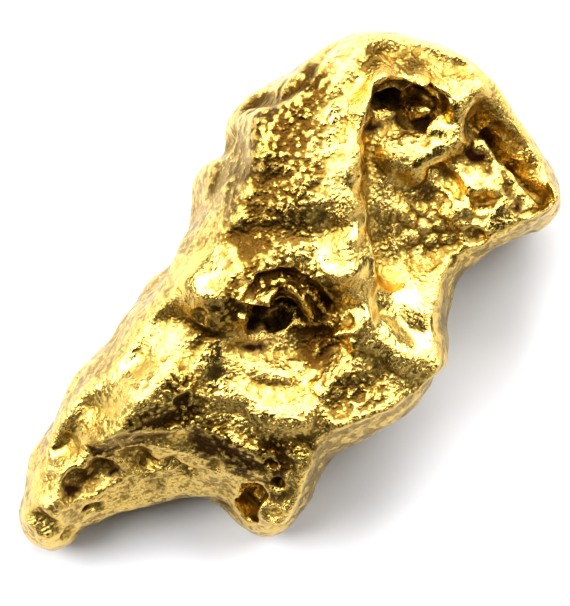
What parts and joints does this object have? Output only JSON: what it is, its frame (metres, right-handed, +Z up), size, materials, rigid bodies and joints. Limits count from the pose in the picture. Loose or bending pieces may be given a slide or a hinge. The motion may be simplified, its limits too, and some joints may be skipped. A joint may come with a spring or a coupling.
{
  "type": "gold nugget",
  "caption": "Natural gold nugget: a lumpy water-worn piece with a tapering arm, a ridged back, a pitted head and worn feet it lies on.",
  "frame": {"origin": "on the resting surface, under the middle of the nugget's bounding box", "axes": "+X along the nugget's length, from the tip of the arm to the head; +Z up, the pitted face upwards; +Y towards the ridged back"},
  "size_m": [0.0164, 0.01, 0.0056],
  "materials": {
    "native_gold": "worn natural gold, satin with polished high spots and darker pits"
  },
  "bodies": {
    "root": {"nugget": "native_gold"}
  },
  "joints": []
}
